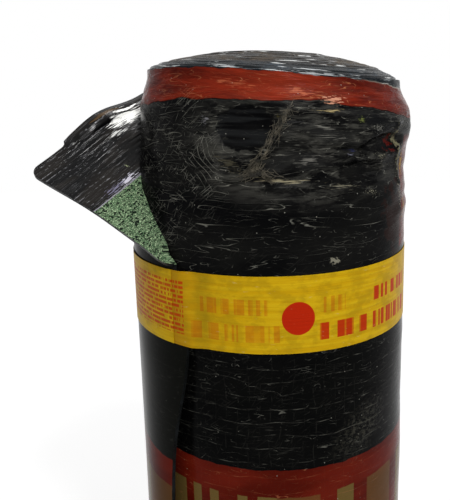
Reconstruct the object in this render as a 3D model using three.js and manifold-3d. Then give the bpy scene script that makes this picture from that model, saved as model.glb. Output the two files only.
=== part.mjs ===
// A roll of mineral-faced roofing felt standing on its end, held by two banding tapes,
// with the top corner of its outer lap peeled open.
import * as THREE from "three";
import { mergeVertices } from "three/addons/utils/BufferGeometryUtils.js";
import Module from "manifold-3d";

const wasm = await Module();
wasm.setup();

// Driving dimensions, in millimetres and degrees. +Z is up, and the roll's front is at -Y.
const feltWidth = 1000;         // width of the felt, so the height of its outer turns
const feltThickness = 3.5;      // bitumen sheet with its granules
const rollRadius = 110;         // to the face of the outer lap at its free edge
const boreRadius = 27;          // the felt is wound with no core
const crownRise = 8;            // how far the innermost turn has slid up out of the outer ones
const turnOffset = 1.2;         // how far neighbouring turns stand out of line at the ends
const seamAngle = 231.5;        // direction of the outer lap's free edge, from +X

const tapeWidth = 54;           // banding tape
const tapeThickness = 0.5;
const tapeClearance = 0.3;      // between tape and felt
const tapeInset = 142;          // from each end of the roll to the nearer edge of its tape
const tapeOverlap = 70;         // length where the tape lies over its own start
const tapeBridge = 16;          // length over which the tape climbs the free edge

const edgeLift = 15;            // how far the free edge stands off half way between the tapes
const edgeLiftReach = 75;       // length of felt that this bends

const flapReach = 151;          // length of top edge that has come away from the roll
const flapSwing = 6.8;          // how far in front of the left-right line the flap points
const flapBend = 5;             // width of the crease where the flap leaves the roll
const flapStandOff = 1;         // how far the crease stands off the roll
const waveSize = 7.3;           // swell of the flap towards its inner face
const wavePlace = 61;           // from the flap's tip to the middle of the swell
const waveLength = 34;          // half the length of the swell
const waveDepth = 90;           // how far the swell runs down from the top edge
const lipSize = 6;              // extra curl of the top edge on the swell
const lipDepth = 16;            // how far the curl runs down from the top edge

const crushHeight = 150;        // height of the top zone that was knocked about
const dropAngle = 9;            // direction of the side that was pressed down
const rimDrop = 4.9;            // how far the rim went down there
const pressAngle = 190;         // direction of the side that was pressed in
const sidePress = 10.2;         // how far the rim went in there
const rimRound = 13.3;          // how far the outer turns went down at the rim
const rimKeep = 0.71;           // share of that which the pressed side kept
const rimRoundPower = 2.5;      // how fast it fades towards the bore
const rimRoundHeight = 60;      // height of felt that this squeezed
const rimShoulder = 6;          // how far the top rim leans in
const shoulderHeight = 29;      // height of the leaning strip
const bulgeAngle = -33;         // direction of the ridge and crease under the rim
const bulgeSize = 2.3;          // how far the ridge stands out
const bulgeDepth = 42;          // from the top to the ridge
const bulgeSpread = 18;         // half the height of the ridge
const pinchSize = 2.6;          // how far the crease goes in
const pinchDepth = 78;          // from the top to the crease
const pinchSpread = 13;         // half the height of the crease

const bodyFacets = 32;          // sides of the turned body
const lapStep = 13;             // length of the facets around the outer lap
const flapStep = 9;             // size of the facets on the flap
const wallStep = 11;            // height of the facets on the knocked part of the wall
const rowsBelowBreak = 5;       // rows of facets from the upper tape to the fold line
const rowsAboveBreak = 8;       // and from there to the top edge
const bodyOverlap = 1.5;        // how deep the outer lap is fused into the body
const endDip = 12;              // length over which the lap's inner end sinks in the body

// Values that follow from them.
const turn = 2 * Math.PI;
const radians = Math.PI / 180;
const bodyRadius = rollRadius - feltThickness;
const lapLength = turn * rollRadius;
const turnCount = Math.round((bodyRadius - boreRadius) / feltThickness);
const turnWidth = (bodyRadius - boreRadius) / turnCount;
const upperTapeBase = feltWidth - tapeInset - tapeWidth;
const lowerTapeBase = tapeInset;
const peelStart = feltWidth - tapeInset + 2;   // height where the free edge begins to peel

function smooth(value) {
  const t = Math.min(Math.max(value, 0), 1);
  return t * t * (3 - 2 * t);
}

function bell(distance, spread) {
  return Math.exp(-((distance / spread) ** 2));
}

function spread(start, end, step) {
  const count = Math.max(1, Math.round((end - start) / step));
  return Array.from({ length: count }, (_, i) => start + ((end - start) * i) / count);
}

// How much a point belongs to the side of the roll that faces `angle`, from 0 to 1.
function towards(point, angle) {
  const reach = (point.x * Math.cos(angle * radians) + point.y * Math.sin(angle * radians)) / rollRadius;
  return smooth((reach + 0.5) / 1.5);
}

// The knocked top end: the rim went down and in, most on one side, over a ridge and a crease.
function crush(point) {
  const radius = Math.hypot(point.x, point.y);
  const outerness = radius / rollRadius;
  const depth = feltWidth - point.z;
  const knocked = smooth(1 - depth / crushHeight);
  const pressed = towards(point, pressAngle);
  const ridge = bulgeSize * bell(depth - bulgeDepth, bulgeSpread);
  const crease = pinchSize * bell(depth - pinchDepth, pinchSpread);
  const lean = rimShoulder * smooth(1 - depth / shoulderHeight) + sidePress * pressed * knocked;
  const push = (ridge - crease) * towards(point, bulgeAngle) - lean;
  const scale = 1 + (push * outerness ** 3) / radius;
  const rounding = rimRound * (1 - rimKeep * pressed) * outerness ** rimRoundPower;
  const drop = rimDrop * towards(point, dropAngle) * knocked
    + rounding * smooth(1 - depth / rimRoundHeight);
  return new THREE.Vector3(point.x * scale, point.y * scale, point.z - drop);
}

// A point on the outer face of the lap as wound. `along` is the distance from the free edge.
function woundFace(along, height, inset = 0) {
  const angle = seamAngle * radians - along / rollRadius;
  const dip = bodyOverlap * Math.max(0, (along - lapLength) / endDip);
  const radius = rollRadius - (feltThickness * along) / lapLength - dip - inset;
  return crush(new THREE.Vector3(radius * Math.cos(angle), radius * Math.sin(angle), height));
}

// How far the lap stands off the roll next to its free edge: most half way between the tapes.
function lapLift(along, height) {
  const low = lowerTapeBase + tapeWidth;
  const between = (height - low) / (upperTapeBase - low);
  if (between <= 0 || between >= 1) {
    return 0;
  }
  return edgeLift * Math.sin(Math.PI * between) ** 0.6 * smooth(1 - along / edgeLiftReach);
}

// Past its bend the flap is flat but for one swell. Its fold line runs from the free edge
// above the tape to the top edge, and the flap points to the left of the roll.
const foldSheet = new THREE.Vector2(flapReach, feltWidth - peelStart);
const foldLength = foldSheet.length();
foldSheet.normalize();
const foldStart = woundFace(0, peelStart);
const foldLine = woundFace(flapReach, feltWidth).sub(foldStart).divideScalar(foldLength);
const flapDirection = new THREE.Vector3(-Math.cos(flapSwing * radians), -Math.sin(flapSwing * radians), 0);
const flapNormal = new THREE.Vector3().crossVectors(foldLine, flapDirection).normalize();
const foldOutward = new THREE.Vector3(foldStart.x, foldStart.y, 0).normalize();

// Distance of a place on the lap from the fold line, more than 0 on the peeled corner.
function pastFold(along, height) {
  return (height - peelStart) * foldSheet.x - along * foldSheet.y;
}

// The flap's swell and its curled top edge, measured towards its inner face.
function flapSwell(along, height) {
  const depth = feltWidth - height;
  const size = waveSize * smooth(1 - depth / waveDepth) + lipSize * smooth(1 - depth / lipDepth) ** 1.5;
  return size * bell(along - wavePlace, waveLength);
}

function flapFace(along, height) {
  const past = pastFold(along, height);
  const onLine = along * foldSheet.x + (height - peelStart) * foldSheet.y;
  return foldStart.clone()
    .addScaledVector(foldLine, onLine)
    .addScaledVector(flapDirection, past)
    .addScaledVector(foldOutward, flapStandOff * smooth(past / flapBend))
    .addScaledVector(flapNormal, flapSwell(along, height));
}

// Outer face of the whole lap: wound on the roll, lifted at its free edge, peeled at its corner.
function lapFace(along, height) {
  const lift = lapLift(along, height);
  const wound = woundFace(along, height, -lift);
  return wound.lerp(flapFace(along, height), smooth(pastFold(along, height) / flapBend));
}

// Inner face: one felt thickness in, and a little more where it is fused to the turn below.
function lapBack(along, height) {
  const step = 0.5;
  const across = lapFace(along + step, height).sub(lapFace(along - step, height));
  const up = lapFace(along, height + step).sub(lapFace(along, height - step));
  const normal = up.cross(across).normalize();
  const offRoll = lapLift(along, height) + 20 * smooth(pastFold(along, height) / flapBend);
  const depth = feltThickness + bodyOverlap * smooth(1 - offRoll / 2);
  return lapFace(along, height).addScaledVector(normal, -depth);
}

// The rows of facets above the upper tape meet at this height. It follows the fold line where
// the corner is peeled, and elsewhere it leaves the rows evenly spaced.
function rowBreak(along) {
  const slope = (feltWidth - peelStart) / flapReach;
  const even = feltWidth - rowsAboveBreak * wallStep;
  const falling = Math.max(even, feltWidth - wallStep - (along - flapReach) * slope);
  return Math.min(peelStart + along * slope, feltWidth - wallStep, falling);
}

// Heights of the lap's rows of facets at one place along it.
function rowHeights(along) {
  const lowTop = lowerTapeBase + tapeWidth;
  const highTop = upperTapeBase + tapeWidth;
  const fold = rowBreak(along);
  return [
    0,
    lowerTapeBase,
    ...spread(lowTop, upperTapeBase, (upperTapeBase - lowTop) / 9),
    upperTapeBase,
    ...spread(highTop, fold, (fold - highTop) / rowsBelowBreak),
    fold,
    ...spread(fold + flapBend, feltWidth, (feltWidth - fold - flapBend) / rowsAboveBreak),
    feltWidth,
  ];
}

// The outer lap as a closed sheet: a grid of points on each face, joined at the four edges.
function outerLapGeometry() {
  const flapColumns = spread(0, flapReach + flapStep, flapStep);
  const wrapColumns = spread(flapReach + flapStep, lapLength, lapStep);
  const columns = [...flapColumns, ...wrapColumns, lapLength, lapLength + endDip];
  const heights = columns.map(rowHeights);
  const rowCount = heights[0].length;
  const width = columns.length;
  const layer = width * rowCount;
  const points = [];
  for (const face of [lapFace, lapBack]) {
    for (let r = 0; r < rowCount; r++) {
      columns.forEach((along, c) => {
        const point = face(along, heights[c][r]);
        points.push(point.x, point.y, Math.max(point.z, 0));
      });
    }
  }
  const index = [];
  const quad = (a, b, c, d) => index.push(a, b, c, a, c, d);
  for (let r = 0; r < rowCount - 1; r++) {
    for (let c = 0; c < width - 1; c++) {
      const a = r * width + c;
      quad(a, a + width, a + width + 1, a + 1);
      quad(layer + a, layer + a + 1, layer + a + width + 1, layer + a + width);
    }
    const first = r * width;
    const last = first + width - 1;
    quad(first, layer + first, layer + first + width, first + width);
    quad(last, last + width, layer + last + width, layer + last);
  }
  for (let c = 0; c < width - 1; c++) {
    const top = (rowCount - 1) * width + c;
    quad(c, c + 1, layer + c + 1, layer + c);
    quad(top, layer + top, layer + top + 1, top + 1);
  }
  const geometry = new THREE.BufferGeometry();
  geometry.setAttribute("position", new THREE.Float32BufferAttribute(points, 3));
  geometry.setIndex(index);
  return geometry;
}

// The wound body, turned with its bore. Each turn ends in a land of its own height, and the
// inner turns have slid up, so the top end is a low cone and the base is hollow to match.
function woundBodyGeometry() {
  const innerEdge = (i) => boreRadius + turnWidth * (turnCount - 1 - i);
  const slide = (i) => (i === 0 ? 0 : crownRise * (1 - ((turnCount - 1 - i) / (turnCount - 1)) ** 2));
  const jog = (i) => turnOffset * ((i % 2) + 0.5 * (i % 3));
  const profile = [];
  const addLand = (i, height, ...edges) => {
    edges.forEach((edge) => profile.push(new THREE.Vector2(innerEdge(i) + edge, height)));
  };
  for (let i = 0; i < turnCount; i++) {
    addLand(i, feltWidth + slide(i) - jog(i), turnWidth, 0);
  }
  for (let i = turnCount - 1; i >= 0; i--) {
    addLand(i, slide(i) + jog(i), 0, turnWidth);
  }
  for (const height of spread(feltWidth - crushHeight, feltWidth - wallStep, wallStep)) {
    profile.push(new THREE.Vector2(bodyRadius, height));
  }
  profile.push(profile[0].clone());
  return new THREE.LatheGeometry(profile, bodyFacets);
}

// Welds a three.js geometry into a manifold solid with its faces turned outwards.
function toSolid(geometry) {
  const bare = geometry.clone();
  bare.deleteAttribute("normal");
  bare.deleteAttribute("uv");
  const welded = mergeVertices(bare, 1e-4);
  const positions = Float32Array.from(welded.attributes.position.array);
  const triangles = Uint32Array.from(welded.index.array);
  const solid = new wasm.Manifold(
    new wasm.Mesh({ numProp: 3, vertProperties: positions, triVerts: triangles }),
  );
  if (solid.volume() > 0) {
    return solid;
  }
  for (let i = 0; i < triangles.length; i += 3) {
    [triangles[i], triangles[i + 1]] = [triangles[i + 1], triangles[i]];
  }
  return new wasm.Manifold(new wasm.Mesh({ numProp: 3, vertProperties: positions, triVerts: triangles }));
}

function fromSolid(solid) {
  const mesh = solid.getMesh();
  const geometry = new THREE.BufferGeometry();
  const positions = [];
  for (let i = 0; i < mesh.numVert; i++) {
    positions.push(...mesh.vertProperties.slice(i * mesh.numProp, i * mesh.numProp + 3));
  }
  geometry.setAttribute("position", new THREE.Float32BufferAttribute(positions, 3));
  geometry.setIndex(Array.from(mesh.triVerts));
  geometry.computeVertexNormals();
  return geometry;
}

// Drops the slivers of air that the fusing seals in between the lap and the turn below.
function largestShell(solid) {
  return solid.decompose().reduce((best, shell) => (shell.volume() > best.volume() ? shell : best));
}

function crushGeometry(geometry) {
  const position = geometry.attributes.position;
  for (let i = 0; i < position.count; i++) {
    const moved = crush(new THREE.Vector3().fromBufferAttribute(position, i));
    position.setXYZ(i, moved.x, moved.y, moved.z);
  }
  return geometry;
}

// LatheGeometry turns about Y, so the body is stood up before it is crushed.
function feltRoll() {
  const body = toSolid(crushGeometry(woundBodyGeometry().rotateX(Math.PI / 2)));
  const lap = toSolid(outerLapGeometry());
  const material = new THREE.MeshStandardMaterial({ color: 0x1c1d20, roughness: 0.45, metalness: 0 });
  const mesh = new THREE.Mesh(fromSolid(largestShell(body.add(lap))), material);
  mesh.name = "felt_roll";
  return mesh;
}

// Radius of the tape's inner face: it follows the lap and climbs over the free edge.
function tapeRadius(along) {
  const wound = rollRadius - (feltThickness * along) / lapLength;
  const climb = feltThickness * smooth((along - (lapLength - tapeBridge)) / (tapeBridge - 3));
  return wound + climb + tapeClearance;
}

// The tape's cross-section at one place: a thin upright strip, doubled where it laps itself.
function tapeSection(along) {
  const angle = seamAngle * radians - along / rollRadius;
  const layers = along < tapeOverlap ? 2 : 1;
  const inner = tapeRadius(along);
  const outer = inner + tapeThickness * layers;
  const corners = [[inner, 0], [outer, 0], [outer, tapeWidth], [inner, tapeWidth]];
  return corners.map(([radius, height]) => [radius * Math.cos(angle), radius * Math.sin(angle), height]);
}

// The band as a closed loop of sections, with short steps where it climbs the free edge.
function tapeGeometry() {
  const climbStart = lapLength - tapeBridge;
  const places = [...spread(0, climbStart, lapStep * 0.8), ...spread(climbStart, lapLength, 2)];
  const sections = places.map(tapeSection);
  const index = [];
  for (let i = 0; i < sections.length; i++) {
    const here = i * 4;
    const next = ((i + 1) % sections.length) * 4;
    for (let k = 0; k < 4; k++) {
      const other = (k + 1) % 4;
      index.push(here + k, next + k, next + other, here + k, next + other, here + other);
    }
  }
  const geometry = new THREE.BufferGeometry();
  geometry.setAttribute("position", new THREE.Float32BufferAttribute(sections.flat(2), 3));
  geometry.setIndex(index);
  return geometry;
}

function bandingTape(name, base) {
  const material = new THREE.MeshStandardMaterial({ color: 0xd8b418, roughness: 0.35, metalness: 0 });
  const mesh = new THREE.Mesh(fromSolid(toSolid(tapeGeometry())), material);
  mesh.name = name;
  mesh.position.z = base;
  return mesh;
}

const roll = new THREE.Group();
roll.add(
  feltRoll(),
  bandingTape("banding_tape_upper", upperTapeBase),
  bandingTape("banding_tape_lower", lowerTapeBase),
);

// The origin is on the floor, below the middle of the whole outline, flap included.
const middle = new THREE.Box3().setFromObject(roll).getCenter(new THREE.Vector3());
roll.position.set(-middle.x, -middle.y, 0);

export default roll;
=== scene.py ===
# The looks of a roll of mineral-faced roofing felt: the wound sheet with its printed film, its
# peeled corner and knocked crown, and the two banding tapes. Sizes are in millimetres and are
# turned to metres where a mesh is written. "Along" is the distance along the felt from its free
# edge, and "height" is the distance across the felt from its lower edge.
import math

import bpy
import numpy as np
from mathutils import Matrix, Vector


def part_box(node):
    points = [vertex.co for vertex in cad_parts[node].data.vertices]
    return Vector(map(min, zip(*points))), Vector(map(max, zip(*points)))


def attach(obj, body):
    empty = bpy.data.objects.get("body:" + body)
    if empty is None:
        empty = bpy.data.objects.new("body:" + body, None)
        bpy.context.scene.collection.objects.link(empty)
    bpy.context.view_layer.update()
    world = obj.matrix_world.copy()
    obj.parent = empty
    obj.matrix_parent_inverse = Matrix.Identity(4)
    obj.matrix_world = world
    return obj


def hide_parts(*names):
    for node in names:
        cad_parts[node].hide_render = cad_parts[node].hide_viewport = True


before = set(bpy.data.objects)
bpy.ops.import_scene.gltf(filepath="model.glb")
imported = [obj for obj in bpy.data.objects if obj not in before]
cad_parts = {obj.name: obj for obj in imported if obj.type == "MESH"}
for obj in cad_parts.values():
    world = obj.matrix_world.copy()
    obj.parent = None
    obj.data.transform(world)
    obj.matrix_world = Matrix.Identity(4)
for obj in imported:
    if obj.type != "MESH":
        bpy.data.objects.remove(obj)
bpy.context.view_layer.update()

MM = 0.001

# ---------------------------------------------------------------- sizes, as in the solids
FELT_WIDTH = 1000.0
FELT_THICKNESS = 3.5
ROLL_RADIUS = 110.0
BORE_RADIUS = 27.0
CROWN_RISE = 8.0
SEAM_ANGLE = 231.5
LAP_LENGTH = 2 * math.pi * ROLL_RADIUS

TAPE_WIDTH = 54.0
TAPE_THICKNESS = 0.5
TAPE_INSET = 142.0
TAPE_CLEARANCE = 0.3
TAPE_OVERLAP = 70.0
TAPE_BRIDGE = 16.0
UPPER_TAPE_BASE = FELT_WIDTH - TAPE_INSET - TAPE_WIDTH
UPPER_TAPE_TOP = UPPER_TAPE_BASE + TAPE_WIDTH
LOWER_TAPE_BASE = TAPE_INSET

EDGE_LIFT = 15.0
EDGE_LIFT_REACH = 75.0

PEEL_START = FELT_WIDTH - TAPE_INSET + 2
FLAP_REACH = 151.0
FLAP_SWING = 6.8

CRUSH_HEIGHT = 150.0
DROP_ANGLE, RIM_DROP = 9.0, 4.9
PRESS_ANGLE, SIDE_PRESS = 190.0, 10.2
RIM_ROUND, RIM_KEEP, RIM_ROUND_POWER, RIM_ROUND_HEIGHT = 13.3, 0.71, 2.5, 60.0
RIM_SHOULDER, SHOULDER_HEIGHT = 6.0, 29.0
BULGE_ANGLE, BULGE_SIZE, BULGE_DEPTH, BULGE_SPREAD = -33.0, 2.3, 42.0, 18.0
PINCH_SIZE, PINCH_DEPTH, PINCH_SPREAD = 2.6, 78.0, 13.0

# ---------------------------------------------------------------- sizes of the looks
SHEET_THICKNESS = 3.2           # a hair under the solid's, which leaves a gap between turns
UNDER_LAP = 250.0               # how far the outer sheet goes on below its own free edge
SHEET_OVERLAP = 40.0            # the inner turns start in the same place as the end of that
COLUMNS_PER_TURN = 72           # of the inner turns' grid
EDGE_BEVEL = 0.5                # the inner turns' rims have their corners worn off
TAPE_FILM = 0.25                # the tape itself is thinner than its solid
FIBRE_RADIUS = 0.15             # of a strand, drawn thick enough to show
SELVEDGE = 68.0                 # strip along the upper edge that has film and no granules
BAND_FROM = 282.0               # from each edge of the felt to the wide printed band
GRANULE_SIZE = (1.5, 1.15)      # along and across the felt
STREAK_ROW = 4.6                # the bare strip's streaks lie in rows this far apart
GRIT_APART = 2.7
RULE_APART = 3.4                # lines of the ruled block on the tape
SMOOTH_ANGLE = 50.0             # degrees, above which an edge stays sharp

# the free edge wanders off plumb, and the sheet behind it follows over some length
EDGE_BOW, BOW_HEIGHT, BOW_ABOVE, BOW_BELOW = 12.0, 795.0, 46.0, 50.0
BOW_REACH = 140.0

# the flap: its fold line is straight, so its root runs inside the round roll; its crease is sharper
# than the solid's and hugs the roll at its start, its free edge is hollow, and it reaches out a
# little more than the flat felt would
FLAP_BEND, FLAP_STAND_OFF = 1.5, 2.0
FLAP_HUG, HUG_WIDTH = 16.0, 12.0
NIP_SIZE, NIP_HEIGHT, NIP_SPREAD, NIP_REACH = 2.3, 936.0, 37.0, 60.0
FLAP_REACH_OUT = 1.04

# the row of the mesh that follows the fold keeps this far from the upper edge
FOLD_MARGIN = 8.0

# the flap's corner is worn round and a little lower than the margin next to it
CORNER_ROUND, CORNER_WORN, WORN_FADE, WORN_DEPTH = 9.0, 2.9, 3.0, 40.0

# the flap's swell and lip, finer than the solid's, its rolled upper margin with the place where
# that starts, and the dip of the upper edge where it leaves the roll
WAVE_SIZE, WAVE_PLACE, WAVE_LENGTH, WAVE_DEPTH = 6.0, 72.8, 30.5, 90.0
LIP_SIZE, LIP_DEPTH = 4.8, 17.1
BEAD_SIZE, BEAD_DEPTH, BEAD_SPREAD, BEAD_FROM, BEAD_FADE = 3.0, 7.0, 4.2, 37.0, 9.0
EDGE_SAG, SAG_PLACE, SAG_SPREAD, SAG_DEPTH = 6.3, 127.0, 64.6, 72.3

# The film is held even by a tape and a little past it, and along the lap; elsewhere it crumples.
TAPE_HOLD, TAPE_EASE = 4.0, 12.0
LAP_HOLD, LAP_EASE = 60.0, 80.0

# The knocks of the crown. A place is how far along the felt it is, and how far below the felt's
# upper edge. The dent, the pits, the lumpy spot and the sunk inner turns behind them have half
# sizes, and slants in degrees. A ridge goes from one place to another, with how far it stands out
# and its half width; a crease is a ridge that goes in.
DENT_PLACE, DENT_HALF, DENT_TURN, DENT_DEEP = (633, 43.5), (21, 17.5), 8, 4.6
DENT_RIM, RIM_FROM = 0.9, 30
LUMPY_PLACE, LUMPY_HALF, LUMPS = (571, 21), (15, 7), 0.9
SUNK_PLACE, SUNK_HALF, SUNK_TURN, SUNK_DEEP = (578, 60), (118, 42), 8, 6.5
PITS = (
    ((526, 57), (22, 7), 10, 5.0),
    ((550, 75), (20, 7), 6, 3.4),
)
RIDGES = (
    ((576, 48), (512, 38), 1.6, 8.0),
    ((572, 59), (545, 61), -4.0, 3.0),
    ((564, 66.5), (524, 65.4), 1.6, 2.6),
    ((566, 86), (526, 74), 2.0, 2.6),
    ((514, 37), (500, 88), 1.4, 1.8),
    ((668, 84), (596, 78), -1.8, 2.2),
    ((664, 79), (598, 73), 1.1, 2.0),
    ((663, 34), (659, 43), 1.5, 2.6),
)


def smooth(value):
    t = np.clip(value, 0, 1)
    return t * t * (3 - 2 * t)


def bell(distance, spread):
    return np.exp(-((distance / spread) ** 2))


def towards(points, angle):
    """How much points belong to the side of the roll that faces the angle, from 0 to 1."""
    a = math.radians(angle)
    reach = (points[:, 0] * math.cos(a) + points[:, 1] * math.sin(a)) / ROLL_RADIUS
    return smooth((reach + 0.5) / 1.5)


def crush(points):
    """The knocked top end: the rim went down and in, most on one side, over a ridge and a crease."""
    radius = np.hypot(points[:, 0], points[:, 1])
    outerness = radius / ROLL_RADIUS
    depth = FELT_WIDTH - points[:, 2]
    knocked = smooth(1 - depth / CRUSH_HEIGHT)
    pressed = towards(points, PRESS_ANGLE)
    ridge = BULGE_SIZE * bell(depth - BULGE_DEPTH, BULGE_SPREAD)
    crease = PINCH_SIZE * bell(depth - PINCH_DEPTH, PINCH_SPREAD)
    lean = RIM_SHOULDER * smooth(1 - depth / SHOULDER_HEIGHT) + SIDE_PRESS * pressed * knocked
    push = (ridge - crease) * towards(points, BULGE_ANGLE) - lean
    scale = 1 + push * outerness**3 / radius
    rounding = RIM_ROUND * (1 - RIM_KEEP * pressed) * outerness**RIM_ROUND_POWER
    drop = RIM_DROP * towards(points, DROP_ANGLE) * knocked
    drop = drop + rounding * smooth(1 - depth / RIM_ROUND_HEIGHT)
    return np.column_stack([points[:, 0] * scale, points[:, 1] * scale, points[:, 2] - drop])


def wound_face(along, height, outward=0.0):
    """Points of the film side of the felt as wound on the roll."""
    angle = math.radians(SEAM_ANGLE) - along / ROLL_RADIUS
    radius = ROLL_RADIUS - FELT_THICKNESS * along / LAP_LENGTH + outward
    return crush(np.column_stack([radius * np.cos(angle), radius * np.sin(angle), height]))


def lap_lift(along, height):
    """How far the lap stands off the roll next to its free edge."""
    low = LOWER_TAPE_BASE + TAPE_WIDTH
    way_up = np.clip((height - low) / (UPPER_TAPE_BASE - low), 0, 1)
    return EDGE_LIFT * np.sin(math.pi * way_up) ** 0.6 * smooth(1 - along / EDGE_LIFT_REACH)


def edge_bow(height):
    """How far the free edge of the lap reaches past its plumb line."""
    return EDGE_BOW * bell(height - BOW_HEIGHT, np.where(height < BOW_HEIGHT, BOW_BELOW, BOW_ABOVE))


fold_sheet = np.array([FLAP_REACH, FELT_WIDTH - PEEL_START])
fold_length = np.hypot(*fold_sheet)
fold_sheet = fold_sheet / fold_length
fold_start = wound_face(np.array([-edge_bow(PEEL_START)]), np.array([PEEL_START]))[0]
fold_end = wound_face(np.array([FLAP_REACH]), np.array([FELT_WIDTH]))[0]
fold_line = (fold_end - fold_start) / fold_length
flap_direction = -np.array([math.cos(math.radians(FLAP_SWING)), math.sin(math.radians(FLAP_SWING)), 0])
flap_normal = np.cross(fold_line, flap_direction)
flap_normal = flap_normal / np.linalg.norm(flap_normal)
fold_outward = np.array([fold_start[0], fold_start[1], 0]) / np.hypot(*fold_start[:2])


def wound_sheet(along, height, outward=0.0):
    """As wound_face, with the free edge where it wandered to."""
    return wound_face(along - edge_bow(height) * smooth(1 - along / BOW_REACH), height, outward)


def past_fold(along, height):
    """How far a place on the felt is past the fold line, on the flap's side of it."""
    return (height - PEEL_START) * fold_sheet[0] - along * fold_sheet[1]


def flap_face(along, height):
    """Points of the film side of the peeled corner: flat from its crease, with swell, lip and bead."""
    along = along + NIP_SIZE * bell(height - NIP_HEIGHT, NIP_SPREAD) * smooth(1 - along / NIP_REACH)
    past = FLAP_REACH_OUT * past_fold(along, height)
    on_line = along * fold_sheet[0] + (height - PEEL_START) * fold_sheet[1]
    depth = FELT_WIDTH - height
    swell = WAVE_SIZE * smooth(1 - depth / WAVE_DEPTH) + LIP_SIZE * smooth(1 - depth / LIP_DEPTH) ** 1.5
    swell = swell * bell(along - WAVE_PLACE, WAVE_LENGTH)
    bead = BEAD_SIZE * bell(depth - BEAD_DEPTH, BEAD_SPREAD) * smooth((along - BEAD_FROM) / BEAD_FADE)
    swell = swell + bead
    crease = fold_start + np.outer(on_line, fold_line)
    on_roll = wound_sheet(on_line * fold_sheet[0], PEEL_START + on_line * fold_sheet[1])
    hugging = bell(on_line, FLAP_HUG) * bell(past, HUG_WIDTH)
    return (
        crease
        + (on_roll - crease) * hugging[:, None]
        + np.outer(past, flap_direction)
        + np.outer(FLAP_STAND_OFF * smooth(past / FLAP_BEND), fold_outward)
        + np.outer(swell, flap_normal)
    )


# ---------------------------------------------------------------- the dents of the crown
def soft_noise(across, up, seed):
    """Smooth seeded noise from -1 to 1 with grains one unit wide."""
    table = np.random.default_rng(seed).uniform(-1, 1, (64, 64))
    i, j = np.floor(across).astype(int), np.floor(up).astype(int)
    u, v = smooth(across - i), smooth(up - j)
    i, j = i % 63, j % 63
    low = table[i, j] * (1 - u) + table[i + 1, j] * u
    high = table[i, j + 1] * (1 - u) + table[i + 1, j + 1] * u
    return low * (1 - v) + high * v


def oval(along, depth, place, half, turn=0.0):
    """Distance from the middle of an oval place on the felt, 1 at its edge."""
    a = math.radians(turn)
    x, y = along - place[0], depth - place[1]
    long, wide = x * math.cos(a) + y * math.sin(a), y * math.cos(a) - x * math.sin(a)
    return np.hypot(long / half[0], wide / half[1])


def from_line(along, depth, start, end):
    """Distance from the straight line between two places on the felt."""
    x, y = end[0] - start[0], end[1] - start[1]
    share = np.clip(((along - start[0]) * x + (depth - start[1]) * y) / (x * x + y * y), 0, 1)
    return np.hypot(along - start[0] - share * x, depth - start[1] - share * y)


def untaped(height, base):
    """0 under a tape and 1 a little way off it, so that the film lies even below the tape."""
    off_middle = np.abs(height - (base + TAPE_WIDTH / 2))
    return smooth((off_middle - TAPE_WIDTH / 2 - TAPE_HOLD) / TAPE_EASE)


def crumple(along, height):
    """How far the film side stands out from the even roll."""
    depth = FELT_WIDTH - height
    crown = smooth((TAPE_INSET - depth) / 45)
    wrinkle = soft_noise(along / 44 + 3.1, depth / 9, 5) + 0.5 * soft_noise(along / 15, depth / 5, 8)
    sag = soft_noise(along / 60, depth / 55 + 7.3, 11)
    out = wrinkle * (0.2 + 0.7 * crown) + sag * 0.5
    out = out * untaped(height, UPPER_TAPE_BASE) * untaped(height, LOWER_TAPE_BASE)
    dent = oval(along, depth, DENT_PLACE, DENT_HALF, DENT_TURN)
    out = out * (1 - 0.85 * smooth((1.1 - dent) / 0.4))
    out = out - DENT_DEEP * smooth((1.25 - dent) / 0.6)
    out = out + DENT_RIM * bell(dent - 1.32, 0.16) * (depth > RIM_FROM)
    for place, half, turn, deep in PITS:
        out = out - deep * smooth((1.3 - oval(along, depth, place, half, turn)) / 0.6)
    for start, end, size, spread in RIDGES:
        out = out + size * bell(from_line(along, depth, start, end), spread)
    lumpy = smooth((1.4 - oval(along, depth, LUMPY_PLACE, LUMPY_HALF)) / 0.6)
    out = out + LUMPS * soft_noise(along / 4.2, depth / 3.6, 31) * lumpy
    return out * smooth(depth / 6 + 0.3)


def sunk(along, height):
    """How far the inner turns gave way behind the dents of the outermost one."""
    depth = FELT_WIDTH - height
    behind = oval(np.mod(along, LAP_LENGTH), depth, SUNK_PLACE, SUNK_HALF, SUNK_TURN)
    fade = smooth(1 - (along - LAP_LENGTH * 1.5) / (LAP_LENGTH * 6))
    return SUNK_DEEP * smooth((1.3 - behind) / 0.35) * fade


def sheet_face(along, height, outward=0.0):
    """The whole outer sheet: wound on the roll, lifted at its free edge, peeled at its corner."""
    crumpled = crumple(along, height) * smooth((along - LAP_HOLD) / LAP_EASE)
    out = crumpled + lap_lift(along, height) + outward
    wound = wound_sheet(along, height, out)
    share = smooth(past_fold(along, height) / FLAP_BEND)[:, None]
    face = wound + (flap_face(along, height) - wound) * share
    near_top = smooth(1 - (FELT_WIDTH - height) / SAG_DEPTH)
    face[:, 2] -= EDGE_SAG * bell(along - SAG_PLACE, SAG_SPREAD) * near_top
    return face


# ---------------------------------------------------------------- where the roll stands
def tape_radius(along, bow=0.0):
    """Radius of the tape's inner face, which climbs back over the free edge at the end of a turn."""
    wound = ROLL_RADIUS - FELT_THICKNESS * along / LAP_LENGTH
    climb = FELT_THICKNESS * smooth((along + bow - (LAP_LENGTH - TAPE_BRIDGE)) / (TAPE_BRIDGE - 3))
    return wound + climb + TAPE_CLEARANCE


def along_at(angle):
    """The place along the outermost turn that faces an angle."""
    return ((SEAM_ANGLE - angle) % 360) / 360 * LAP_LENGTH


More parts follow.
